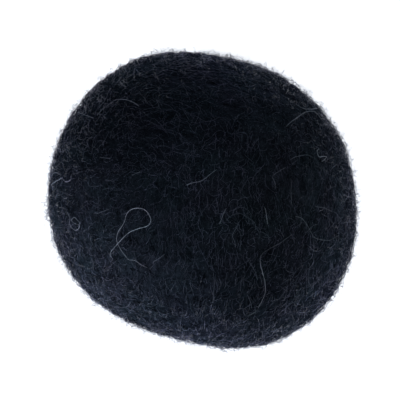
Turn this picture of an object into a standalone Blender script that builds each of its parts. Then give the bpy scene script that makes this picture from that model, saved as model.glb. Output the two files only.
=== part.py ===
"""A hand-rolled wool felt ball, sold as a 2 cm craft ball, lying on its flat spot.

Wet wool roving is rolled between two palms until it mats into one solid piece. The palms leave
it a little out of round: a sphere that is pressed flatter in some places and stands proud in
others. The ball is one closed solid, out to the top of its matted pile.

Frame: metres, +Z up. The origin is the middle of the ball's box, at the flat spot it rests on.
+X is the ball's longest side and +Z its shortest.
"""

from collections import namedtuple
from math import cos, degrees, exp, radians, sin

import bmesh
import bpy
from mathutils import Vector

MM = 0.001

# Driving dimensions.
ROLLED_RADIUS = 11.15 * MM  # the sphere that the palms started to press
FLAT_SPOT_DEPTH = 0.16 * MM  # how much of the underside the ball's own rest has flattened

# How sharply a pressed place turns into the round of the ball: higher leaves a crisper shoulder.
PRESS_SHARPNESS = 14

# Directions are degrees: azimuth runs from +X towards +Y, and elevation up from the horizon.
# A press is a plane at its distance from the ball's middle, and the felt stays inside it.
Press = namedtuple("Press", "place azimuth elevation distance")
PRESSES = (
    Press("front palm", 254, -8, 9.70 * MM),
    Press("back palm", 78, 6, 10.55 * MM),
    Press("back right", 45, 0, 10.95 * MM),
    Press("right", 8, 0, 11.30 * MM),
    Press("front left", 222, 0, 11.50 * MM),
    Press("crown", 130, 80, 10.45 * MM),
    Press("underside", 0, -90, 10.45 * MM),
)

# A lump's spread is the angle from its middle at which its height has dropped to a third.
Lump = namedtuple("Lump", "place azimuth elevation height spread")
LUMPS = (
    Lump("front right shoulder", 316, -5, 0.30 * MM, 28),
    Lump("back left shoulder", 138, 5, 0.16 * MM, 22),
    Lump("upper left", 190, 42, 0.14 * MM, 20),
    Lump("upper right", 20, 48, 0.12 * MM, 18),
)

SPHERE_SUBDIVISIONS = 5  # 5120 faces, about 0.8 mm across on this ball

WOOL_COLOUR = (0.0065, 0.0085, 0.0135, 1.0)  # black wool with a navy cast


def clear_scene():
    for old in list(bpy.data.objects):
        bpy.data.objects.remove(old)


def direction(azimuth, elevation):
    a, e = radians(azimuth), radians(elevation)
    return Vector((cos(a) * cos(e), sin(a) * cos(e), sin(e)))


def ball_radius(towards):
    """How far the felt reaches from the ball's middle in the unit direction `towards`.

    The sphere and each pressed plane are joined by a smooth minimum, so that a press fades into
    the round. A lump then stands on top as a bell-shaped rise.
    """
    total = ROLLED_RADIUS**-PRESS_SHARPNESS
    for press in PRESSES:
        facing = towards.dot(direction(press.azimuth, press.elevation))
        if facing > 0:
            total += (facing / press.distance) ** PRESS_SHARPNESS
    radius = total ** (-1 / PRESS_SHARPNESS)
    for lump in LUMPS:
        away = degrees(towards.angle(direction(lump.azimuth, lump.elevation)))
        radius += lump.height * exp(-((away / lump.spread) ** 2))
    return radius


def press_into_shape(mesh):
    """Moves each point of a sphere about the origin out to the ball's own radius there."""
    for vertex in mesh.verts:
        towards = vertex.co.normalized()
        vertex.co = towards * ball_radius(towards)


def stand_on_flat_spot(mesh):
    """Cuts the underside off level, closes it with one flat face and stands that face on Z = 0."""
    lowest = min(vertex.co.z for vertex in mesh.verts)
    level = Vector((0, 0, lowest + FLAT_SPOT_DEPTH))
    everything = mesh.verts[:] + mesh.edges[:] + mesh.faces[:]
    cut = bmesh.ops.bisect_plane(
        mesh, geom=everything, plane_co=level, plane_no=(0, 0, 1), clear_inner=True
    )
    rim = [item for item in cut["geom_cut"] if isinstance(item, bmesh.types.BMEdge)]
    bmesh.ops.holes_fill(mesh, edges=rim, sides=0)
    for vertex in mesh.verts:
        vertex.co.z -= level.z
    for vertex in {corner for edge in rim for corner in edge.verts}:
        vertex.co.z = 0


def centre_over_origin(mesh):
    """Puts the middle of the ball's box over the origin, seen from above."""
    for axis in (0, 1):
        places = [vertex.co[axis] for vertex in mesh.verts]
        middle = (min(places) + max(places)) / 2
        for vertex in mesh.verts:
            vertex.co[axis] -= middle


def wool_material():
    material = bpy.data.materials.new("wool")
    material.use_nodes = True
    shader = material.node_tree.nodes["Principled BSDF"]
    shader.inputs["Base Color"].default_value = WOOL_COLOUR
    shader.inputs["Roughness"].default_value = 0.9
    shader.inputs["Metallic"].default_value = 0.0
    return material


def make_felt_ball(collection):
    bpy.ops.mesh.primitive_ico_sphere_add(subdivisions=SPHERE_SUBDIVISIONS, radius=1.0)
    ball = bpy.context.object
    ball.name = "felt_ball"
    for holder in list(ball.users_collection):
        holder.objects.unlink(ball)
    collection.objects.link(ball)

    mesh = bmesh.new()
    mesh.from_mesh(ball.data)
    press_into_shape(mesh)
    stand_on_flat_spot(mesh)
    centre_over_origin(mesh)
    bmesh.ops.recalc_face_normals(mesh, faces=mesh.faces[:])
    mesh.to_mesh(ball.data)
    mesh.free()

    ball.data.shade_smooth()
    ball.data.materials.append(wool_material())
    return ball


def main():
    clear_scene()
    collection = bpy.data.collections.new("felt ball")
    bpy.context.scene.collection.children.link(collection)
    make_felt_ball(collection)


main()
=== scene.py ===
"""The looks of a hand-rolled felt ball: its wool, the light and the camera.

The ball is one lump of matted black wool with a navy cast. What shows of it is made in layers,
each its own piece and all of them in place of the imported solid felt_ball:

- felt_body: the dense wool underneath, finely pitted;
- matted_fibres_1 and on: the fibres that lie tangled over the body, up to the solid's skin;
- loose_fibres: the fibres that have worked loose and arch over the skin;
- standing_hairs: the fine short hairs that stand off it;
- stray_fibres: the few long pale fibres that lie on top.

Lengths are in metres and +Z is up. In tables, directions are degrees as seen from the ball's
middle: azimuth runs from +X towards +Y, and elevation up from the horizon. The ball's middle is
the middle of the solid's box.
"""

from collections import namedtuple
from math import cos, pi, radians, sin

import bmesh
import bpy
import numpy as np
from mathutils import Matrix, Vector, noise
from mathutils.bvhtree import BVHTree


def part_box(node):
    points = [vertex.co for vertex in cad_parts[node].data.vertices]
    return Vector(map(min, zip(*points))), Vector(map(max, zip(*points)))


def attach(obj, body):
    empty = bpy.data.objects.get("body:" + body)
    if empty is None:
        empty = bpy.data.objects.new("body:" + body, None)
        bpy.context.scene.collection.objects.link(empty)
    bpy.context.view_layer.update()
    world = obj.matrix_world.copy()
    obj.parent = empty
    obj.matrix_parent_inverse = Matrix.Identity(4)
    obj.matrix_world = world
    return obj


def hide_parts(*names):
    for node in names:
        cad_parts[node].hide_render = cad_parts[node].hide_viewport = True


MM = 0.001
SEED = 20

# The felt under the fibres.
BODY_DEPTH = 0.20 * MM  # how far it lies under the skin
BODY_DETAIL = 1  # rounds of subdivision
SAME_POINT = 0.001 * MM  # corners of the solid that are nearer than this are one
FLOOR_GAP = 0.02 * MM  # no fibre's path goes lower than this, and no side of it lower than half

# Matting leaves small rises and pits. All that lies on the skin follows them.
Rise = namedtuple("Rise", "size height")
RELIEF = (Rise(1.2 * MM, 0.06 * MM), Rise(0.50 * MM, 0.07 * MM))
RELIEF_SHIFT = 7.3  # sets the noise of each size apart from the next

# A spot is a place where the wool's colour or the spread of its shades is changed, by the share
# `change`. That has dropped to about a third `spread` degrees away.
Spot = namedtuple("Spot", "place azimuth elevation change spread")
# Where the wool's colour is made paler (+) or darker (-): painted light and shade, such as the
# paler crown and the paler edges all round, which are painted rim light.
PAINTED_LIGHT_AND_TONES = (
    Spot("crown", 130, 82, 0.50, 28),
    Spot("front right of the crown", 301, 49, -0.46, 22),
    Spot("left of the crown", 146, 42, -0.38, 22),
    Spot("left", 174, 33, -0.18, 12),
    Spot("front", 258, 55, -0.18, 18),
    Spot("front right", 300, 42, -0.12, 18),
    Spot("back right", 34, 38, -0.38, 16),
    Spot("back left edge", 110, 8, 0.72, 14),
    Spot("back", 88, 32, 0.40, 22),
    Spot("back right edge", 62, 20, -0.18, 14),
    Spot("left edge", 190, 2, 0.35, 12),
    Spot("front left edge", 226, 12, 0.55, 16),
    Spot("front edge", 268, 16, 0.52, 16),
    Spot("front right edge", 328, 22, 0.34, 14),
    Spot("right edge", 0, 8, 0.55, 14),
    Spot("right", 0, 50, 0.12, 18),
)
# Where its black is made bluer (+) or less blue (-). The bluer edges all round are the painted
# colour of rim light.
CASTS_AND_RIM_LIGHT = (
    Spot("back edge", 84, 12, 0.18, 32),
    Spot("back left edge", 135, 12, 0.09, 24),
    Spot("left edge", 180, 12, 0.07, 26),
    Spot("front left edge", 226, 12, 0.05, 26),
    Spot("front edge", 272, 12, 0.06, 26),
    Spot("front right edge", 318, 12, 0.06, 26),
    Spot("right edge", 4, 12, 0.06, 26),
    Spot("front", 266, 44, 0.08, 20),
    Spot("right of the crown", 352, 64, -0.10, 30),
)
# Where the shades of its fibres differ more (+) or less (-).
CONTRASTS = (
    Spot("right", 352, 44, 0.55, 17),
    Spot("front left", 236, 48, 1.05, 21),
    Spot("front", 264, 38, 0.40, 16),
    Spot("left", 196, 48, 0.40, 16),
    Spot("front of the crown", 320, 76, -0.34, 22),
    Spot("back right edge", 51, 20, -0.35, 13),
    Spot("left edge", 158, 16, -0.25, 14),
)

# The crown is rubbed flat: the fibres over it stand lower and are more alike in shade. Calmness
# rises with the cosine of the angle from the flattest place.
CALMEST = (0.05, 0.15, 0.98)
CALM_FROM = 0.55  # the cosine up to which there is none
CALM_RISE = 0.35  # how much more makes it full
CALM_SHARE = 0.76  # how much of their height and difference in shade is lost there
CALM_SHADE = 0.1  # the shade that fibres over the skin tend to there

# Where the fibres all run along one azimuth, `run`, with their tips at either end: fully within
# `near` degrees of the place, and not past `far`. Fully combed ones are longer by the share `longer`.
Comb = namedtuple("Comb", "place azimuth elevation run near far longer")
COMBS = (
    Comb("front right of the crown", 313, 65, 85, 33, 54, 0.0),
    Comb("back of the crown", 100, 46, 326, 12, 30, 0.8),
)
COMB_KEENNESS = (0.3, 1.3)  # how far single fibres follow a comb, where all past 1 counts as 1
COMB_LOSS = 0.9  # how much of its own heading a fully combed fibre loses
COMB_PULL = 2  # the weight of the comb's heading, where a fibre's own weighs 1
COMB_STRAIGHTENING = 0.65  # how much of its curl a fully combed fibre loses

# Fibres that lie along the skin. Each turns by about `curl` degrees, either way, from each of its
# points to the next, and besides by about BEND times that one way all along.
Fibres = namedtuple("Fibres", "count points length thickness curl")
LENGTHS = (0.6, 1.5)  # what their length is multiplied by, at least and at most
BEND = 0.4

# A fibre of a layer rises from `low` at its ends to about `high`. Its shade lies between `dark`
# and `light`; the deeper layers are darker, painted shade for the depth of the mat.
Layer = namedtuple("Layer", "name fibres low high dark light")
MATTED_LAYERS = (
    Layer(
        "matted_fibres_1", Fibres(5000, 7, 0.90 * MM, 0.048 * MM, 36),
        low=-0.24 * MM, high=-0.10 * MM, dark=0.1, light=0.45,
    ),
    Layer(
        "matted_fibres_2", Fibres(10500, 5, 0.55 * MM, 0.040 * MM, 42),
        low=-0.20 * MM, high=-0.02 * MM, dark=0.15, light=0.65,
    ),
    Layer(
        "matted_fibres_3", Fibres(6500, 7, 0.85 * MM, 0.034 * MM, 36),
        low=-0.18 * MM, high=0.03 * MM, dark=0.2, light=0.85,
    ),
)
MATTED_ARCH = 0.7  # the power of the sine that they rise by: the lower, the steeper at the ends
MATTED_DROP = 0.4  # how far short of `high` they stay, as a share of the rise
MATTED_WIDTHS = (0.75, 1.2)  # what their thickness is multiplied by
MATTED_TAPER = 0.25  # the share of its length over which a fibre thins out, at each end
MATTED_SHADES = (0.7, 1.05)  # the beta distribution of their shades: dark ones are the commonest
MATTED_USUAL = 0.4  # the shade that they tend to, between dark and light, where they differ less
MATTED_CALMING = 0.8  # how far they do so on the crown

# Fibres that have worked loose and hang over the skin, each to its own height.
LOOSE_FIBRES = Fibres(8000, 6, 0.85 * MM, 0.021 * MM, 44)
LOOSE_ROOT = -0.14 * MM
LOOSE_MEAN_HEIGHT = 0.13 * MM
LOOSE_MOST_HEIGHT = 0.48 * MM
LOOSE_ARCH = 0.8  # a power, as MATTED_ARCH is
LOOSE_ENDS = (0.55, 1.0)  # how much of its arch a fibre has: with all of it, it comes down again
LOOSE_WOBBLE = 0.35  # how far its height varies on the way, as a share
LOOSE_WOBBLE_TURN = 9  # in radians, from its one end to the other
LOOSE_TAPER = 0.15

HAIR_COUNT = 8000
HAIR_POINTS = 6
HAIR_LENGTH = 0.45 * MM
HAIR_LENGTHS = (-0.14, 0.54)  # the mean and deviation of the logarithm of what it is multiplied by
HAIR_LENGTH_LIMITS = (0.35, 2.1)
HAIR_THICKNESS = 0.020 * MM
HAIR_TAPER = 0.3
HAIR_ROOT = -0.08 * MM
HAIR_SLANTS = (30, 85)  # degrees up from the skin, where a hair leaves it
HAIR_CURLS = (-34, 6)  # degrees by which it rises more from each of its points to the next
HAIR_SWAY = 28  # degrees by which it turns aside there
HAIR_LAID_BY_COMB = 0.5  # how much of its slant a fully combed hair loses
HAIR_HELD_BY_COMB = 0.6  # how much of its sway

# The pile is the loose fibres and the hairs.
PILE_WIDTHS = (0.8, 1.2)  # what their thickness is multiplied by
PILE_SHADES = (0.9, 1.8)  # the beta distribution of their shades
CLUMP_SIZE = 1.2 * MM
CLUMP_CHOICES = 3  # of so many places for each of them, the most crowded are taken
CLUMP_CHANCE = 3  # how much chance counts in that, where crowding counts 1

TUBE_SIDES = 3
CELL_MARGIN = 0.12  # of a tube's cell in the texture space, left free on each side


def unit(vectors):
    return vectors / np.linalg.norm(vectors, axis=-1, keepdims=True)


def compass(azimuth, elevation):
    """The unit direction at those degrees."""
    a, e = radians(azimuth), radians(elevation)
    return np.array([cos(a) * cos(e), sin(a) * cos(e), sin(e)])


def link(thing):
    bpy.context.scene.collection.objects.link(thing)
    return thing


def set_attribute(mesh, name, values):
    """One number for each of the mesh's points, for the material to read."""
    attribute = mesh.attributes.new(name, "FLOAT", "POINT")
    attribute.data.foreach_set("value", values.astype(np.float32))


# ---------------------------------------------------------------------------- how the wool differs


def factor_at(towards, spots):
    """The spots' sum in those directions, where 1 is the wool's usual state."""
    factor = np.ones(len(towards))
    for spot in spots:
        facing = towards @ compass(spot.azimuth, spot.elevation)
        away = np.degrees(np.arccos(facing.clip(-1, 1)))
        factor += spot.change * np.exp(-((away / spot.spread) ** 2))
    return factor


def calmness(towards):
    """How flat the wool is rubbed: fully on the crown, not at all low down."""
    facing = towards @ unit(np.array(CALMEST))
    return np.clip((facing - CALM_FROM) / CALM_RISE, 0, 1)


def liveliness(towards):
    """What is left of the pile's height and of how its shades differ, where it is calm."""
    return 1 - CALM_SHARE * calmness(towards)


def pile_shades(random, towards):
    contrast = liveliness(towards) * factor_at(towards, CONTRASTS)
    return CALM_SHADE + (random.beta(*PILE_SHADES, len(towards)) - CALM_SHADE) * contrast


def combed(random, towards, heading):
    """The headings, turned one way where the wool is combed.

    Also returns by what share each is combed, and by what share its fibre is longer for it.
    """
    sign = random.choice([-1, 1], len(towards))[:, None]
    keen = random.uniform(*COMB_KEENNESS, len(towards))
    most = np.zeros(len(towards))
    longer = np.zeros(len(towards))
    for comb in COMBS:
        along = unit(np.cross(np.cross(towards, compass(comb.run, 0)), towards))
        near, far = cos(radians(comb.near)), cos(radians(comb.far))
        facing = towards @ compass(comb.azimuth, comb.elevation)
        share = (np.clip((facing - far) / (near - far), 0, 1) * keen).clip(0, 1)
        own = heading * (1 - COMB_LOSS * share[:, None])
        heading = own + along * sign * COMB_PULL * share[:, None]
        most = np.maximum(most, share)
        longer += comb.longer * share
    return unit(heading), most, longer


def clumped(random, skin, count):
    """Unit directions from the ball's middle that gather in clumps."""
    choices = unit(random.normal(size=(CLUMP_CHOICES * count, 3)))
    scale = skin.middle[2] / CLUMP_SIZE
    crowding = np.array([noise.noise(Vector(way) * scale) for way in choices.tolist()])
    chance = random.uniform(-CLUMP_CHANCE, CLUMP_CHANCE, len(choices))
    order = np.argsort(crowding + chance)
    return random.permutation(choices[order[-count:]])


# ---------------------------------------------------------------------------- the ball's skin


def relief(point):
    """How far the matting raises or sinks the skin at that point."""
    return sum(
        rise.height * noise.noise(point / rise.size + Vector((RELIEF_SHIFT * number,) * 3))
        for number, rise in enumerate(RELIEF)
    )


class Skin:
    """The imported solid's surface, which every layer is laid on."""

    def __init__(self, ball, middle):
        mesh = ball.data
        corners = [vertex.co for vertex in mesh.vertices]
        self.tree = BVHTree.FromPolygons(corners, [tuple(face.vertices) for face in mesh.polygons])
        self.middle = np.array(middle)

    def reach(self, towards):
        """How far the skin lies from the middle in each of the unit directions."""
        start = Vector(self.middle)
        rays = [Vector(ray) for ray in towards.reshape(-1, 3).tolist()]
        hits = [self.tree.ray_cast(start, ray) for ray in rays]
        reaches = [distance + relief(spot) for spot, _, _, distance in hits]
        return np.array(reaches).reshape(towards.shape[:-1])

    def place(self, towards, height):
        """Points at those heights over the skin, none of them under the floor."""
        points = self.middle + towards * (self.reach(towards) + height)[..., None]
        points[..., 2] = np.maximum(points[..., 2], FLOOR_GAP)
        return points

    def towards_seen(self, eye, plan):
        """Unit directions from the middle to where the eye sees points of the middle's level."""
        found = []
        for x, y in plan.reshape(-1, 2).tolist():
            level_point = Vector((x, y, self.middle[2]))
            spot = self.tree.ray_cast(eye, (level_point - eye).normalized())[0]
            found.append(spot or self.tree.find_nearest(level_point)[0])
        return unit(np.array(found) - self.middle).reshape(*plan.shape[:-1], 3)


# ---------------------------------------------------------------------------- fibres as tubes


def tube_pattern(points):
    """The triangles of one closed tube that comes to a point at both ends.

    Returns each corner's vertex number, and its place along and round the tube from 0 to 1.
    """
    rings = points - 2
    last_tip = 1 + rings * TUBE_SIDES

    def corner(ring, side):
        along = (ring + 1) / (points - 1)
        return 1 + ring * TUBE_SIDES + side % TUBE_SIDES, along, side / TUBE_SIDES

    corners = []
    for side in range(TUBE_SIDES):
        beside = (side + 0.5) / TUBE_SIDES
        corners += [(0, 0, beside), corner(0, side + 1), corner(0, side)]
        for ring in range(rings - 1):
            near, next_near = corner(ring, side), corner(ring, side + 1)
            far, next_far = corner(ring + 1, side), corner(ring + 1, side + 1)
            corners += [near, next_near, next_far, near, next_far, far]
        corners += [(last_tip, 1, beside), corner(rings - 1, side), corner(rings - 1, side + 1)]
    numbers, along, around = zip(*corners)
    return np.array(numbers), np.array([along, around]).T


def make_tubes(name, paths, outward, radius, shade, material):
    """One mesh of thin tubes, one along each path, with a shade from 0 to 1 for each.

    `outward` is the way off the skin at each path's points, and `radius` the tube's there.
    """
    count, points, _ = paths.shape
    along = unit(np.gradient(paths, axis=1))
    across = unit(np.cross(along, outward))
    up = np.cross(across, along)
    turn = 2 * pi * np.arange(TUBE_SIDES) / TUBE_SIDES + pi / 2
    spokes = across[:, :, None] * np.cos(turn)[:, None] + up[:, :, None] * np.sin(turn)[:, None]
    rings = paths[:, :, None] + spokes * radius[:, :, None, None]
    rings[..., 2] = np.maximum(rings[..., 2], FLOOR_GAP / 2)
    rings = rings[:, 1:-1].reshape(count, -1, 3)
    vertices = np.concatenate([paths[:, :1], rings, paths[:, -1:]], axis=1)

    numbers, places = tube_pattern(points)
    corners = numbers + vertices.shape[1] * np.arange(count)[:, None]
    mesh = bpy.data.meshes.new(name)
    mesh.from_pydata(vertices.reshape(-1, 3), [], corners.reshape(-1, 3))

    # Each tube has its own small cell in the texture space.
    columns = int(np.ceil(np.sqrt(count)))
    cell = np.stack(np.divmod(np.arange(count), columns), axis=1)
    spread = cell[:, None] + CELL_MARGIN + places * (1 - 2 * CELL_MARGIN)
    layer = mesh.uv_layers.new(name="OFBake")
    layer.uv.foreach_set("vector", (spread / columns).astype(np.float32).ravel())

    start = outward[:, 0]
    set_attribute(mesh, "shade", np.repeat(shade, vertices.shape[1]))
    # Each point also holds the painted light and shade of its place, and the blue cast that is
    # painted rim light at the edges.
    set_attribute(mesh, "tone", np.repeat(factor_at(start, PAINTED_LIGHT_AND_TONES), vertices.shape[1]))
    set_attribute(mesh, "cast", np.repeat(factor_at(start, CASTS_AND_RIM_LIGHT), vertices.shape[1]))
    mesh.shade_smooth()
    mesh.materials.append(material)
    return link(bpy.data.objects.new(name, mesh))


def taper(points, share):
    """A tube's width along its length, 1 but for its ends, which thin out over that share."""
    along = np.linspace(0, 1, points)
    from_end = np.minimum(along, 1 - along)
    return np.clip(from_end / share, 0, 1) ** 0.5


def lying_directions(random, skin, fibres, towards):
    """Curly paths over the skin from those directions, as unit directions from the middle."""
    heading = unit(np.cross(towards, random.normal(size=(fibres.count, 3))))
    heading, share, longer = combed(random, towards, heading)
    length = fibres.length * random.uniform(*LENGTHS, fibres.count) * (1 + longer)
    step = (length / (fibres.points - 1) / skin.middle[2])[:, None]
    curl = fibres.curl * (1 - COMB_STRAIGHTENING * share)
    bend = random.normal(size=fibres.count) * BEND
    stops = [towards]
    for _ in range(fibres.points - 1):
        forward = towards * np.cos(step) + heading * np.sin(step)
        heading = heading * np.cos(step) - towards * np.sin(step)
        turn = np.radians(curl * (bend + random.normal(size=fibres.count)))[:, None]
        heading = unit(heading * np.cos(turn) + np.cross(forward, heading) * np.sin(turn))
        towards = unit(forward)
        stops.append(towards)
    return np.stack(stops, axis=1)


# ---------------------------------------------------------------------------- the wool's pieces


def wool_piece(piece):
    """Makes a piece part of the ball."""
    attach(piece, "root")
    return piece


def make_felt_body(ball, middle, material):
    """The solid's own shape, set in under the fibres and made finely uneven."""
    cage = bmesh.new()
    cage.from_mesh(ball.data)
    bmesh.ops.remove_doubles(cage, verts=cage.verts[:], dist=SAME_POINT)
    for layer in list(cage.loops.layers.uv.values()):
        cage.loops.layers.uv.remove(layer)
    rough = bpy.data.meshes.new("felt_body_cage")
    cage.to_mesh(rough)
    cage.free()

    holder = link(bpy.data.objects.new("felt_body", rough))
    smooth = holder.modifiers.new("smooth", "SUBSURF")
    smooth.levels = smooth.render_levels = BODY_DETAIL
    seen = holder.evaluated_get(bpy.context.evaluated_depsgraph_get())
    mesh = bpy.data.meshes.new_from_object(seen)
    bpy.data.objects.remove(holder)

    for vertex in mesh.vertices:
        outward = (vertex.co - middle).normalized()
        vertex.co += outward * (relief(vertex.co) - BODY_DEPTH)
        vertex.co.z = max(vertex.co.z, FLOOR_GAP)
    towards = unit(np.array([vertex.co - middle for vertex in mesh.vertices]))
    # Each point also holds the painted light and shade of its place, and the blue cast that is
    # painted rim light at the edges.
    set_attribute(mesh, "tone", factor_at(towards, PAINTED_LIGHT_AND_TONES))
    set_attribute(mesh, "cast", factor_at(towards, CASTS_AND_RIM_LIGHT))
    mesh.shade_smooth()
    mesh.materials.clear()
    mesh.materials.append(material)
    body = wool_piece(link(bpy.data.objects.new("felt_body", mesh)))
    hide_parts("felt_ball")
    return body


def make_matted_fibres(random, skin, material):
    for layer in MATTED_LAYERS:
        fibres = layer.fibres
        rise = layer.high - layer.low
        start = unit(random.normal(size=(fibres.count, 3)))
        towards = lying_directions(random, skin, fibres, start)
        arch = np.sin(np.linspace(0, pi, fibres.points)) ** MATTED_ARCH
        drop = np.abs(random.normal(size=fibres.count)) * MATTED_DROP * rise
        height = layer.low + arch * (rise - drop)[:, None]
        size = random.uniform(*MATTED_WIDTHS, fibres.count)[:, None]
        radius = size * taper(fibres.points, MATTED_TAPER) * fibres.thickness / 2
        spread = random.beta(*MATTED_SHADES, fibres.count)
        alike = MATTED_CALMING * calmness(start) + 1 - factor_at(start, CONTRASTS)
        spread += (MATTED_USUAL - spread) * alike
        shade = layer.dark + (layer.light - layer.dark) * spread
        paths = skin.place(towards, height)
        wool_piece(make_tubes(layer.name, paths, towards, radius, shade, material))


def make_loose_fibres(random, skin, material):
    """Fibres that arch over the skin. Some come down again and some end in the air."""
    fibres = LOOSE_FIBRES
    start = clumped(random, skin, fibres.count)
    towards = lying_directions(random, skin, fibres, start)
    mean_height = LOOSE_MEAN_HEIGHT * liveliness(start)
    crest = np.minimum(random.exponential(mean_height, fibres.count), LOOSE_MOST_HEIGHT)
    end = random.uniform(*LOOSE_ENDS, fibres.count)[:, None]
    along = np.linspace(0, 1, fibres.points)
    phase = random.uniform(0, 2 * pi, (fibres.count, 1))
    wobble = 1 + LOOSE_WOBBLE * np.sin(phase + LOOSE_WOBBLE_TURN * along)
    arch = np.sin(pi * along * end) ** LOOSE_ARCH
    height = LOOSE_ROOT + arch * (crest[:, None] * wobble - LOOSE_ROOT)
    paths = skin.place(towards, height)
    size = random.uniform(*PILE_WIDTHS, fibres.count)[:, None]
    radius = size * taper(fibres.points, LOOSE_TAPER) * fibres.thickness / 2
    shade = pile_shades(random, start)
    return wool_piece(make_tubes("loose_fibres", paths, towards, radius, shade, material))


def make_standing_hairs(random, skin, material):
    """Short fine hairs that leave the skin at a slant and mostly curl back towards it."""
    towards = clumped(random, skin, HAIR_COUNT)
    lean = unit(np.cross(towards, random.normal(size=(HAIR_COUNT, 3))))
    lean, share, _ = combed(random, towards, lean)
    side = np.cross(towards, lean)
    longer = random.lognormal(*HAIR_LENGTHS, HAIR_COUNT).clip(*HAIR_LENGTH_LIMITS)
    step = HAIR_LENGTH * longer * liveliness(towards) / (HAIR_POINTS - 1)
    slant = np.radians(random.uniform(*HAIR_SLANTS, HAIR_COUNT)) * (1 - HAIR_LAID_BY_COMB * share)
    curl = np.radians(random.uniform(*HAIR_CURLS, HAIR_COUNT))
    sway = np.radians(random.normal(size=HAIR_COUNT)) * HAIR_SWAY * (1 - HAIR_HELD_BY_COMB * share)
    point = skin.place(towards, np.full(HAIR_COUNT, HAIR_ROOT))
    stops = [point]
    for number in range(HAIR_POINTS - 1):
        up = slant + curl * number
        swing = sway * number
        flat = lean * np.cos(swing)[:, None] + side * np.sin(swing)[:, None]
        way = flat * np.cos(up)[:, None] + towards * np.sin(up)[:, None]
        point = point + way * step[:, None]
        stops.append(point)
    paths = np.stack(stops, axis=1)
    paths[..., 2] = np.maximum(paths[..., 2], FLOOR_GAP)
    outward = np.repeat(towards[:, None], HAIR_POINTS, axis=1)
    size = random.uniform(*PILE_WIDTHS, HAIR_COUNT)[:, None]
    radius = size * taper(HAIR_POINTS, HAIR_TAPER) * HAIR_THICKNESS / 2
    shade = pile_shades(random, towards)
    return wool_piece(make_tubes("standing_hairs", paths, outward, radius, shade, material))


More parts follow.
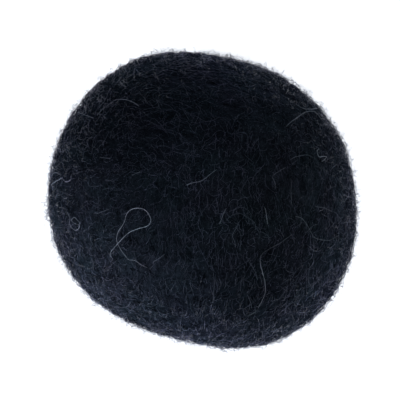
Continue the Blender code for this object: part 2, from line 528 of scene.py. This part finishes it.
# Pale fibres that lie on top: points in plan, in millimetres from the ball's middle.
Stray = namedtuple("Stray", "shape paleness thickness points")
STRAYS = (
    Stray("loop with crossed ends", 0.98, 0.045 * MM, (
        (-6.15, -4.30), (-6.44, -3.98), (-6.41, -3.66), (-5.95, -3.12), (-5.55, -2.71),
        (-5.13, -2.31), (-4.44, -2.04), (-4.05, -1.94), (-3.77, -1.82), (-3.61, -1.57),
        (-3.61, -1.31), (-3.77, -0.99), (-4.05, -0.70), (-4.44, -0.60), (-4.76, -0.63),
        (-5.07, -0.77), (-5.29, -1.05), (-5.42, -1.50), (-5.65, -1.92), (-5.90, -2.29),
        (-6.00, -2.77), (-5.93, -3.15), (-5.65, -3.60), (-5.35, -4.04), (-5.17, -4.26),
        (-4.81, -4.30), (-4.44, -4.49), (-4.12, -4.71), (-3.80, -4.87),
    )),
    Stray("small ring with a tail", 0.95, 0.042 * MM, (
        (-9.58, -0.87), (-9.39, -1.09), (-9.26, -1.37), (-9.30, -1.69), (-9.11, -1.98),
        (-8.89, -2.17), (-8.67, -2.01), (-8.58, -1.69), (-8.76, -1.44), (-9.01, -1.26),
        (-9.19, -1.44), (-9.08, -1.63), (-8.89, -1.77),
    )),
    Stray("arch", 0.66, 0.042 * MM, (
        (-7.46, 5.95), (-7.14, 6.23), (-6.70, 6.55), (-6.32, 6.86), (-5.87, 7.03),
        (-5.36, 7.03), (-4.92, 6.86), (-4.66, 6.74), (-4.44, 6.58),
    )),
    Stray("faint one left of the arch", 0.35, 0.040 * MM, (
        (-8.79, 6.17), (-8.22, 5.95), (-7.65, 5.75),
    )),
    Stray("curl at the upper left rim", 0.42, 0.040 * MM, (
        (-5.90, 8.93), (-5.68, 8.85), (-5.46, 8.96), (-5.35, 9.18), (-5.53, 9.34),
        (-5.75, 9.28), (-5.84, 9.09), (-5.62, 9.03),
    )),
    Stray("squiggle at the left", 0.75, 0.042 * MM, (
        (-10.72, 1.00), (-10.45, 1.22), (-10.15, 1.36), (-9.90, 1.50), (-9.72, 1.40),
        (-9.62, 1.26), (-9.42, 1.26), (-9.26, 1.44), (-9.29, 1.66),
    )),
    Stray("arc over the squiggle", 0.60, 0.040 * MM, (
        (-10.66, 1.62), (-10.46, 1.84), (-10.20, 1.88), (-10.00, 1.68),
    )),
    Stray("bent hair upper right", 0.58, 0.043 * MM, (
        (5.95, 5.15), (6.25, 5.45), (6.75, 5.80), (7.25, 6.15), (7.65, 6.20), (8.00, 6.15),
        (8.30, 5.85), (8.60, 5.55),
    )),
    Stray("its neighbour", 0.78, 0.042 * MM, (
        (6.60, 6.75), (7.20, 6.40), (7.65, 6.35), (8.25, 6.45),
    )),
    Stray("hook at the right", 1.00, 0.054 * MM, (
        (8.25, 3.60), (8.10, 3.40), (8.15, 3.20), (8.30, 3.00), (8.55, 3.05), (8.80, 3.00),
        (8.65, 2.80), (8.50, 2.70),
    )),
    Stray("faint arc beside it", 0.27, 0.037 * MM, (
        (6.20, 2.78), (6.60, 3.00), (7.35, 3.14), (7.87, 2.93), (8.23, 2.57), (8.50, 2.20),
    )),
    Stray("short one in the middle", 0.42, 0.037 * MM, (
        (-1.15, 1.00), (-0.75, 1.15), (-0.15, 1.28), (0.25, 1.50), (0.60, 1.80), (1.05, 2.13),
    )),
    Stray("long S lower right", 0.46, 0.039 * MM, (
        (6.42, -2.39), (6.04, -2.71), (5.53, -3.06), (4.77, -3.50), (4.32, -3.76),
        (4.08, -4.15), (4.12, -4.60), (4.32, -5.38), (4.42, -5.95), (4.45, -6.52),
        (4.26, -7.03), (4.07, -7.48), (3.82, -7.86), (3.18, -8.30),
    )),
    Stray("arc lower left", 0.42, 0.042 * MM, (
        (-6.63, -6.84), (-6.61, -7.16), (-6.41, -7.38), (-6.09, -7.51), (-5.58, -7.59),
        (-5.23, -7.51), (-5.04, -7.28),
    )),
    Stray("swing at the right", 0.36, 0.038 * MM, (
        (6.61, -1.18), (7.06, -1.34), (7.38, -1.76), (7.63, -2.20), (7.88, -2.65),
        (8.39, -2.83), (9.00, -2.85), (9.70, -2.50),
    )),
    Stray("small curve by the loop", 0.42, 0.040 * MM, (
        (-3.42, -4.55), (-3.39, -4.36), (-3.10, -4.17), (-2.62, -3.85),
    )),
    Stray("upright one right of middle", 0.34, 0.042 * MM, (
        (4.39, -0.48), (4.49, -0.80), (4.55, -1.37), (4.64, -1.76),
    )),
    Stray("slanted one in the middle", 0.36, 0.040 * MM, (
        (1.72, -0.61), (1.47, -1.12), (1.24, -1.76),
    )),
    Stray("faint ones under it", 0.10, 0.034 * MM, (
        (2.61, -1.57), (2.29, -2.20), (2.14, -2.55), (2.30, -3.00), (2.36, -3.35),
    )),
    Stray("upright one by the front", 0.14, 0.034 * MM, (
        (0.80, -5.19), (0.86, -5.82), (0.80, -7.10),
    )),
    Stray("curl at the right edge", 0.50, 0.038 * MM, (
        (9.95, -0.35), (10.12, 0.00), (10.38, 0.18), (10.60, 0.05), (10.62, -0.22),
    )),
    Stray("short one at the right", 0.30, 0.040 * MM, (
        (8.05, -0.50), (8.60, -0.60), (9.20, -0.85),
    )),
    Stray("upright one at the right", 0.20, 0.040 * MM, (
        (7.95, -2.75), (7.85, -3.20), (7.88, -3.72),
    )),
    Stray("faint one beside the S", 0.08, 0.034 * MM, (
        (3.15, -4.10), (3.30, -4.35), (3.70, -5.00), (3.95, -5.70),
    )),
    Stray("faint one below the S", 0.20, 0.038 * MM, (
        (3.20, -6.70), (3.40, -7.20), (3.50, -7.70),
    )),
    Stray("faint one lower right", 0.36, 0.040 * MM, (
        (4.85, -7.45), (5.55, -6.85), (6.05, -6.20),
    )),
    Stray("kinked one right of middle", 0.26, 0.036 * MM, (
        (5.95, 2.29), (5.45, 2.00), (4.96, 1.64), (5.10, 1.22), (5.24, 0.79),
    )),
    Stray("faint upright one at the right", 0.20, 0.036 * MM, (
        (6.31, 1.50), (6.24, 0.65), (6.31, -0.42),
    )),
    Stray("slanted one at the right edge", 0.26, 0.036 * MM, (
        (9.30, 0.36), (9.58, -0.06), (9.87, -0.56),
    )),
    Stray("short one under the swing", 0.28, 0.038 * MM, (
        (8.44, -0.99), (8.87, -1.27), (9.30, -1.70),
    )),
    Stray("short one under the hook", 0.28, 0.036 * MM, (
        (7.95, 2.43), (8.44, 2.21), (8.94, 1.93),
    )),
    Stray("faint one above the swing", 0.18, 0.036 * MM, (
        (6.95, -0.72), (6.98, -1.32), (6.88, -1.92),
    )),
    Stray("faint one left of middle", 0.36, 0.040 * MM, (
        (-4.93, 1.69), (-4.68, 1.81), (-4.26, 1.97),
    )),
    Stray("faint one farther left", 0.34, 0.038 * MM, (
        (-7.22, 2.99), (-6.96, 2.93), (-6.46, 2.89),
    )),
    Stray("faint one above the loop", 0.30, 0.038 * MM, (
        (-7.55, -1.03), (-7.04, -0.87), (-6.54, -0.68),
    )),
    Stray("faint one by the front left", 0.30, 0.038 * MM, (
        (-4.24, -7.51), (-3.61, -7.54), (-3.03, -7.35),
    )),
)
STRAY_POINTS = 56
STRAY_LIFT = 0.12 * MM  # how high they lie over the skin, multiplied by:
STRAY_LIFT_ALONG = 0.3  # this all along them,
STRAY_LIFTS_BETWEEN = (0.6, 1.2)  # and so much more at their middles
STRAY_ARCH = 0.5  # a power, as MATTED_ARCH is
STRAY_TAPER = 0.03

# Fainter ones of no set place, which fade out towards the crown.
LOOSE_STRAYS = Fibres(32, STRAY_POINTS, 2.0 * MM, 0.036 * MM, 8)
LOOSE_STRAY_WIDTHS = (0.8, 1.1)
LOOSE_STRAY_SHADES = (0.05, 0.22)


def spline(points, count):
    """Evenly timed points on a Catmull-Rom curve through the given ones."""
    points = np.array(points, float)
    padded = np.concatenate([2 * points[:1] - points[1:2], points, 2 * points[-1:] - points[-2:-1]])
    time = np.linspace(0, len(points) - 1, count)
    start = np.minimum(time.astype(int), len(points) - 2)
    t = (time - start)[:, None]
    a, b, c, d = (padded[start + offset] for offset in range(4))
    return 0.5 * (
        2 * b + (c - a) * t + (2 * a - 5 * b + 4 * c - d) * t**2 + (3 * b - a - 3 * c + d) * t**3
    )


def make_stray_fibres(random, skin, eye, material):
    plan = np.stack([spline(stray.points, STRAY_POINTS) for stray in STRAYS]) * MM
    placed = skin.towards_seen(eye, plan)
    start = unit(random.normal(size=(LOOSE_STRAYS.count, 3)))
    towards = np.concatenate([placed, lying_directions(random, skin, LOOSE_STRAYS, start)])
    wave = np.sin(np.linspace(0, pi, STRAY_POINTS)) ** STRAY_ARCH
    most = random.uniform(*STRAY_LIFTS_BETWEEN, (len(towards), 1))
    paths = skin.place(towards, STRAY_LIFT * (STRAY_LIFT_ALONG + wave * most))
    loose_width = random.uniform(*LOOSE_STRAY_WIDTHS, LOOSE_STRAYS.count)
    loose_thickness = LOOSE_STRAYS.thickness * loose_width
    thickness = np.concatenate([[stray.thickness for stray in STRAYS], loose_thickness])
    loose_shade = random.uniform(*LOOSE_STRAY_SHADES, LOOSE_STRAYS.count)
    loose_shade *= 1 - calmness(start)
    shade = np.concatenate([[stray.paleness for stray in STRAYS], loose_shade])
    radius = thickness[:, None] / 2 * taper(STRAY_POINTS, STRAY_TAPER)
    return wool_piece(make_tubes("stray_fibres", paths, towards, radius, shade, material))


# ---------------------------------------------------------------------------- materials

# A noise's middle value, and the range about it that holds most of the others.
NOISE_MIDDLE = 0.5
NOISE_LOW = 0.35
NOISE_HIGH = 0.65

# Over the ball the black drifts between teal and violet.
DRIFT_SIZE = 2.4 * MM
TEAL_DRIFT = (0.92, 1.01, 0.98)
VIOLET_DRIFT = (1.09, 0.99, 1.03)

WOOL_IOR = 1.2  # chosen below wool's own, which is about 1.5
GLOSS_TINT = (0.62, 0.76, 1.0)
SHEEN_TINT = (0.55, 0.68, 1.0)
SHEEN_ROUGHNESS = 0.4

# The dense wool shows as webs of fine lines, some coarser and some finer.
FELT_WEBS = (0.19 * MM, 0.27 * MM, 0.41 * MM)
FELT_LINE = 0.05  # how far off a noise's middle value a line reaches
FELT_STOPS = ((0.0, (0.0037, 0.0052, 0.0077)), (1.0, (0.0100, 0.0138, 0.0196)))
FELT_LINE_HEIGHT = 0.02 * MM

# A fibre's wool: its colour at shades from 0 to 1, its shine, how clear it is, and by what share
# its colour varies along it.
Wool = namedtuple("Wool", "name stops gloss sheen clearness patchiness")
BLACK_WOOL = Wool(
    "black_wool",
    (
        (0.0, (0.0031, 0.0044, 0.0065)),
        (0.4, (0.0088, 0.0120, 0.0168)),
        (0.8, (0.0240, 0.0312, 0.0395)),
        (1.0, (0.0420, 0.0520, 0.0640)),
    ),
    gloss=0.0, sheen=0.02, clearness=0.0, patchiness=0.8,
)
# The loose fibres and the hairs are of the black wool too. These paler copies of it are painted light
# that the pile catches, which shows most at the edge as painted rim light.
LIT_LOOSE_WOOL = Wool(
    "lit_loose_wool",
    (
        (0.0, (0.0115, 0.0130, 0.0250)),
        (0.5, (0.0335, 0.0385, 0.0620)),
        (1.0, (0.1000, 0.1130, 0.1620)),
    ),
    gloss=0.12, sheen=0.06, clearness=0.4, patchiness=0.8,
)
LIT_HAIR_WOOL = Wool(
    "lit_hair_wool",
    (
        (0.0, (0.0190, 0.0215, 0.0410)),
        (0.5, (0.0545, 0.0620, 0.0980)),
        (1.0, (0.1220, 0.1360, 0.1940)),
    ),
    gloss=0.12, sheen=0.06, clearness=0.4, patchiness=0.8,
)
PALE_WOOL = Wool(
    "pale_wool",
    (
        (0.0, (0.014, 0.018, 0.025)),
        (0.5, (0.055, 0.064, 0.080)),
        (1.0, (0.15, 0.17, 0.20)),
    ),
    gloss=0.2, sheen=0.05, clearness=0.0, patchiness=0.3,
)
PATCH_SIZE = 0.12 * MM
SCALE_SIZE = 0.03 * MM  # of the scales on a single fibre
SCALE_HEIGHT = 0.002 * MM


def new_material(name):
    """A node material with a Principled shader. Returns it, its tree and the shader."""
    material = bpy.data.materials.new(name)
    material.use_nodes = True
    tree = material.node_tree
    return material, tree, tree.nodes["Principled BSDF"]


def add_node(tree, kind, **inputs):
    node = tree.nodes.new(kind)
    for name, value in inputs.items():
        node.inputs[name.replace("_", " ")].default_value = value
    return node


def object_noise(tree, size, detail=2.0, roughness=0.5):
    """Noise with features about that many metres across, fixed to the ball."""
    place = tree.nodes.new("ShaderNodeTexCoord")
    grain = add_node(tree, "ShaderNodeTexNoise", Scale=1 / size, Detail=detail, Roughness=roughness)
    tree.links.new(place.outputs["Object"], grain.inputs["Vector"])
    return grain


def colour_ramp(tree, driver, stops):
    ramp = tree.nodes.new("ShaderNodeValToRGB")
    points = ramp.color_ramp.elements
    while len(points) < len(stops):
        points.new(0.5)
    for point, (place, colour) in zip(points, stops):
        point.position = place
        point.color = (*colour, 1)
    tree.links.new(driver, ramp.inputs["Fac"])
    return ramp


def attribute_value(tree, name):
    """The number that the mesh holds under that name."""
    node = tree.nodes.new("ShaderNodeAttribute")
    node.attribute_name = name
    return node.outputs["Fac"]


def vector_node(tree, operation, colour, socket, factor):
    """The colour times the factor, which is linked to that socket."""
    node = tree.nodes.new("ShaderNodeVectorMath")
    node.operation = operation
    tree.links.new(colour, node.inputs[0])
    tree.links.new(factor, node.inputs[socket])
    return node.outputs["Vector"]


def scaled(tree, colour, factor):
    return vector_node(tree, "SCALE", colour, "Scale", factor)


def multiplied(tree, colour, tint):
    return vector_node(tree, "MULTIPLY", colour, 1, tint)


def cast_and_rim_light_over(tree, colour):
    """The colour with its blue made stronger or weaker by the mesh's cast, which at the edges is the
    painted colour of rim light.
    """
    blue = add_node(tree, "ShaderNodeCombineXYZ", X=1.0, Y=1.0)
    tree.links.new(attribute_value(tree, "cast"), blue.inputs["Z"])
    return multiplied(tree, colour, blue.outputs["Vector"])


def over_the_ball(tree, colour):
    """The colour as it changes over the ball: by its drift, by the mesh's cast, and by the painted
    light and shade that the mesh holds.
    """
    lean = object_noise(tree, DRIFT_SIZE, detail=1)
    drift = ((NOISE_LOW, TEAL_DRIFT), (NOISE_HIGH, VIOLET_DRIFT))
    tint = colour_ramp(tree, lean.outputs["Fac"], drift)
    tinted = multiplied(tree, colour, tint.outputs["Color"])
    return scaled(tree, cast_and_rim_light_over(tree, tinted), attribute_value(tree, "tone"))


def add_bump(tree, shader, height, strength, distance):
    bump = add_node(tree, "ShaderNodeBump", Strength=strength, Distance=distance)
    tree.links.new(height, bump.inputs["Height"])
    tree.links.new(bump.outputs["Normal"], shader.inputs["Normal"])


def set_wool_surface(shader, roughness, gloss, sheen, clearness=0.0):
    shader.inputs["Transmission Weight"].default_value = clearness
    shader.inputs["IOR"].default_value = WOOL_IOR
    shader.inputs["Roughness"].default_value = roughness
    shader.inputs["Specular IOR Level"].default_value = gloss
    shader.inputs["Specular Tint"].default_value = (*GLOSS_TINT, 1)
    shader.inputs["Sheen Weight"].default_value = sheen
    shader.inputs["Sheen Roughness"].default_value = SHEEN_ROUGHNESS
    shader.inputs["Sheen Tint"].default_value = (*SHEEN_TINT, 1)


def math_node(tree, operation, first, second=None):
    node = tree.nodes.new("ShaderNodeMath")
    node.operation = operation
    tree.links.new(first, node.inputs[0])
    if second is not None:
        tree.links.new(second, node.inputs[1])
    return node


def fibre_web(tree, size, width):
    """A mask of thin curly lines, `size` metres apart: where a noise crosses its middle value."""
    field = object_noise(tree, size, detail=2, roughness=0.6)
    off_middle = math_node(tree, "SUBTRACT", field.outputs["Fac"])
    off_middle.inputs[1].default_value = NOISE_MIDDLE
    distance = math_node(tree, "ABSOLUTE", off_middle.outputs["Value"])
    line = add_node(tree, "ShaderNodeMapRange", From_Max=width, To_Min=1.0, To_Max=0.0)
    tree.links.new(distance.outputs["Value"], line.inputs["Value"])
    return line.outputs["Result"]


def felt_material():
    """The dense wool between the fibres, with a web of fine lines."""
    material, tree, shader = new_material("felt")
    webs = [fibre_web(tree, size, FELT_LINE) for size in FELT_WEBS]
    brightest = webs[0]
    for web in webs[1:]:
        brightest = math_node(tree, "MAXIMUM", brightest, web).outputs["Value"]
    ramp = colour_ramp(tree, brightest, FELT_STOPS)
    tree.links.new(over_the_ball(tree, ramp.outputs["Color"]), shader.inputs["Base Color"])
    add_bump(tree, shader, brightest, strength=0.7, distance=FELT_LINE_HEIGHT)
    set_wool_surface(shader, roughness=0.8, gloss=0.02, sheen=0.0)
    return material


def fibre_material(wool):
    """A wool fibre, whose colour follows its shade and varies along it."""
    material, tree, shader = new_material(wool.name)
    ramp = colour_ramp(tree, attribute_value(tree, "shade"), wool.stops)
    patch = object_noise(tree, PATCH_SIZE, detail=2)
    vary = add_node(
        tree,
        "ShaderNodeMapRange",
        From_Min=NOISE_LOW,
        From_Max=NOISE_HIGH,
        To_Min=1 - wool.patchiness,
        To_Max=1 + wool.patchiness,
    )
    tree.links.new(patch.outputs["Fac"], vary.inputs["Value"])
    patchy = scaled(tree, ramp.outputs["Color"], vary.outputs["Result"])
    tree.links.new(over_the_ball(tree, patchy), shader.inputs["Base Color"])
    scales = object_noise(tree, SCALE_SIZE, detail=1)
    add_bump(tree, shader, scales.outputs["Fac"], strength=0.25, distance=SCALE_HEIGHT)
    set_wool_surface(
        shader, roughness=0.5, gloss=wool.gloss, sheen=wool.sheen, clearness=wool.clearness
    )
    return material


# ---------------------------------------------------------------------------- stage and camera

TABLE_SIDE = 3.6
TABLE_SQUARES = 8  # along each side
TABLE_GRAIN = 40 * MM
TABLE_TONE = 0.45
TABLE_GRAIN_TONE = 1.04 * TABLE_TONE
TABLE_GLOW = 0.97
TABLE_GLOW_COLOUR = (0.92, 0.95, 1.0)

ROOM_COLOUR = (0.87, 0.93, 1.0)
WALL_LIGHT = 1.15
CEILING_LIGHT = 0.20
WALL_TOP = 5  # degrees up from the horizon
CEILING_EDGE = 20

# Soft lights, all at one distance from the ball's middle. Most of the light comes from low at the
# front left, some from low at the right, and a little from the back, so that the edge is lit.
# Glow is the brightness of the light's own face.
SOFTBOX_DISTANCE = 0.30
Softbox = namedtuple("Softbox", "place azimuth elevation width height glow")
SOFTBOXES = (
    Softbox("front left", 234, 18, 0.17, 0.17, 9.0),
    Softbox("front left, low", 234, 8, 0.24, 0.07, 26.0),
    Softbox("front left, high", 234, 40, 0.17, 0.17, 1.6),
    Softbox("right, low", 0, 8, 0.24, 0.07, 14.0),
    Softbox("back right, low", 60, 8, 0.24, 0.07, 2.4),
    Softbox("back left, low", 120, 8, 0.24, 0.07, 2.4),
)
LAMP_COLOUR = (0.90, 0.92, 1.0)

LENS = 250.0
SENSOR = 36.0
VIEW_WIDTH = 28.49 * MM  # how much of the ball's widest level the picture takes in
OFF_MIDDLE = (-0.143 * MM, -0.036 * MM)  # the camera stands this far off the ball's middle
NEAREST_SEEN = 10 * MM
FARTHEST_SEEN = 10


def floor_material():
    """A white table that is lit from below."""
    material, tree, shader = new_material("light_table")
    grain = object_noise(tree, TABLE_GRAIN, detail=2)
    stops = ((0.3, (TABLE_TONE,) * 3), (0.7, (TABLE_GRAIN_TONE,) * 3))
    ramp = colour_ramp(tree, grain.outputs["Fac"], stops)
    tree.links.new(ramp.outputs["Color"], shader.inputs["Base Color"])
    shader.inputs["Roughness"].default_value = 0.7
    shader.inputs["Specular IOR Level"].default_value = 0.1
    shader.inputs["Emission Color"].default_value = (*TABLE_GLOW_COLOUR, 1)
    shader.inputs["Emission Strength"].default_value = TABLE_GLOW
    return material


def make_table():
    bpy.ops.mesh.primitive_grid_add(
        x_subdivisions=TABLE_SQUARES, y_subdivisions=TABLE_SQUARES, size=TABLE_SIDE
    )
    table = bpy.context.object
    table.name = "light_table"
    table.data.materials.append(floor_material())


def make_world():
    """A white room that is bright at its walls and dimmer overhead, where the camera hangs."""
    world = bpy.data.worlds.new("studio")
    world.use_nodes = True
    bpy.context.scene.world = world
    tree = world.node_tree
    sky = tree.nodes["Background"]
    way = tree.nodes.new("ShaderNodeTexCoord")
    split = tree.nodes.new("ShaderNodeSeparateXYZ")
    tree.links.new(way.outputs["Generated"], split.inputs["Vector"])
    fall = tree.nodes.new("ShaderNodeMapRange")
    fall.interpolation_type = "SMOOTHSTEP"
    fall.inputs["From Min"].default_value = sin(radians(WALL_TOP))
    fall.inputs["From Max"].default_value = sin(radians(CEILING_EDGE))
    fall.inputs["To Min"].default_value = WALL_LIGHT
    fall.inputs["To Max"].default_value = CEILING_LIGHT
    tree.links.new(split.outputs["Z"], fall.inputs["Value"])
    tree.links.new(fall.outputs["Result"], sky.inputs["Strength"])
    sky.inputs["Color"].default_value = (*ROOM_COLOUR, 1)


def make_softboxes(middle):
    for number, box in enumerate(SOFTBOXES, start=1):
        data = bpy.data.lights.new(f"softbox_{number}", "AREA")
        data.shape = "RECTANGLE"
        data.size = box.width
        data.size_y = box.height
        data.energy = box.glow * pi * box.width * box.height
        data.color = LAMP_COLOUR
        light = link(bpy.data.objects.new(f"softbox_{number}", data))
        light.visible_camera = False
        out = Vector(compass(box.azimuth, box.elevation))
        light.location = middle + out * SOFTBOX_DISTANCE
        light.rotation_euler = out.to_track_quat("Z", "Y").to_euler()


def make_camera(eye):
    """Straight above the ball, looking down."""
    data = bpy.data.cameras.new("camera")
    data.lens = LENS
    data.sensor_width = SENSOR
    data.clip_start = NEAREST_SEEN
    data.clip_end = FARTHEST_SEEN
    camera = link(bpy.data.objects.new("camera", data))
    camera.location = eye
    bpy.context.scene.camera = camera


def set_colour_response():
    view = bpy.context.scene.view_settings
    view.view_transform = "Standard"
    view.look = "None"


def corners(box):
    return [list(corner) for corner in box]


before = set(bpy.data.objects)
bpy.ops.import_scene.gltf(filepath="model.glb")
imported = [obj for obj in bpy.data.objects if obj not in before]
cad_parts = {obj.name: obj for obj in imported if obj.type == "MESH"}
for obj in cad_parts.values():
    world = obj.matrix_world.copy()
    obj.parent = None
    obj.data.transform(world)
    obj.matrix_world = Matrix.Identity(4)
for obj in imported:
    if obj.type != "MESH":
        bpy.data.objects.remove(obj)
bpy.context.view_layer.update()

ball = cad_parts["felt_ball"]
low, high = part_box("felt_ball")
middle = (low + high) / 2
eye = middle + Vector((*OFF_MIDDLE, VIEW_WIDTH * LENS / SENSOR))
skin = Skin(ball, middle)
random = np.random.default_rng(SEED)

make_felt_body(ball, middle, felt_material())
make_matted_fibres(random, skin, fibre_material(BLACK_WOOL))
make_loose_fibres(random, skin, fibre_material(LIT_LOOSE_WOOL))
make_standing_hairs(random, skin, fibre_material(LIT_HAIR_WOOL))
make_stray_fibres(random, skin, eye, fibre_material(PALE_WOOL))

make_table()
make_world()
make_softboxes(middle)
make_camera(eye)
set_colour_response()
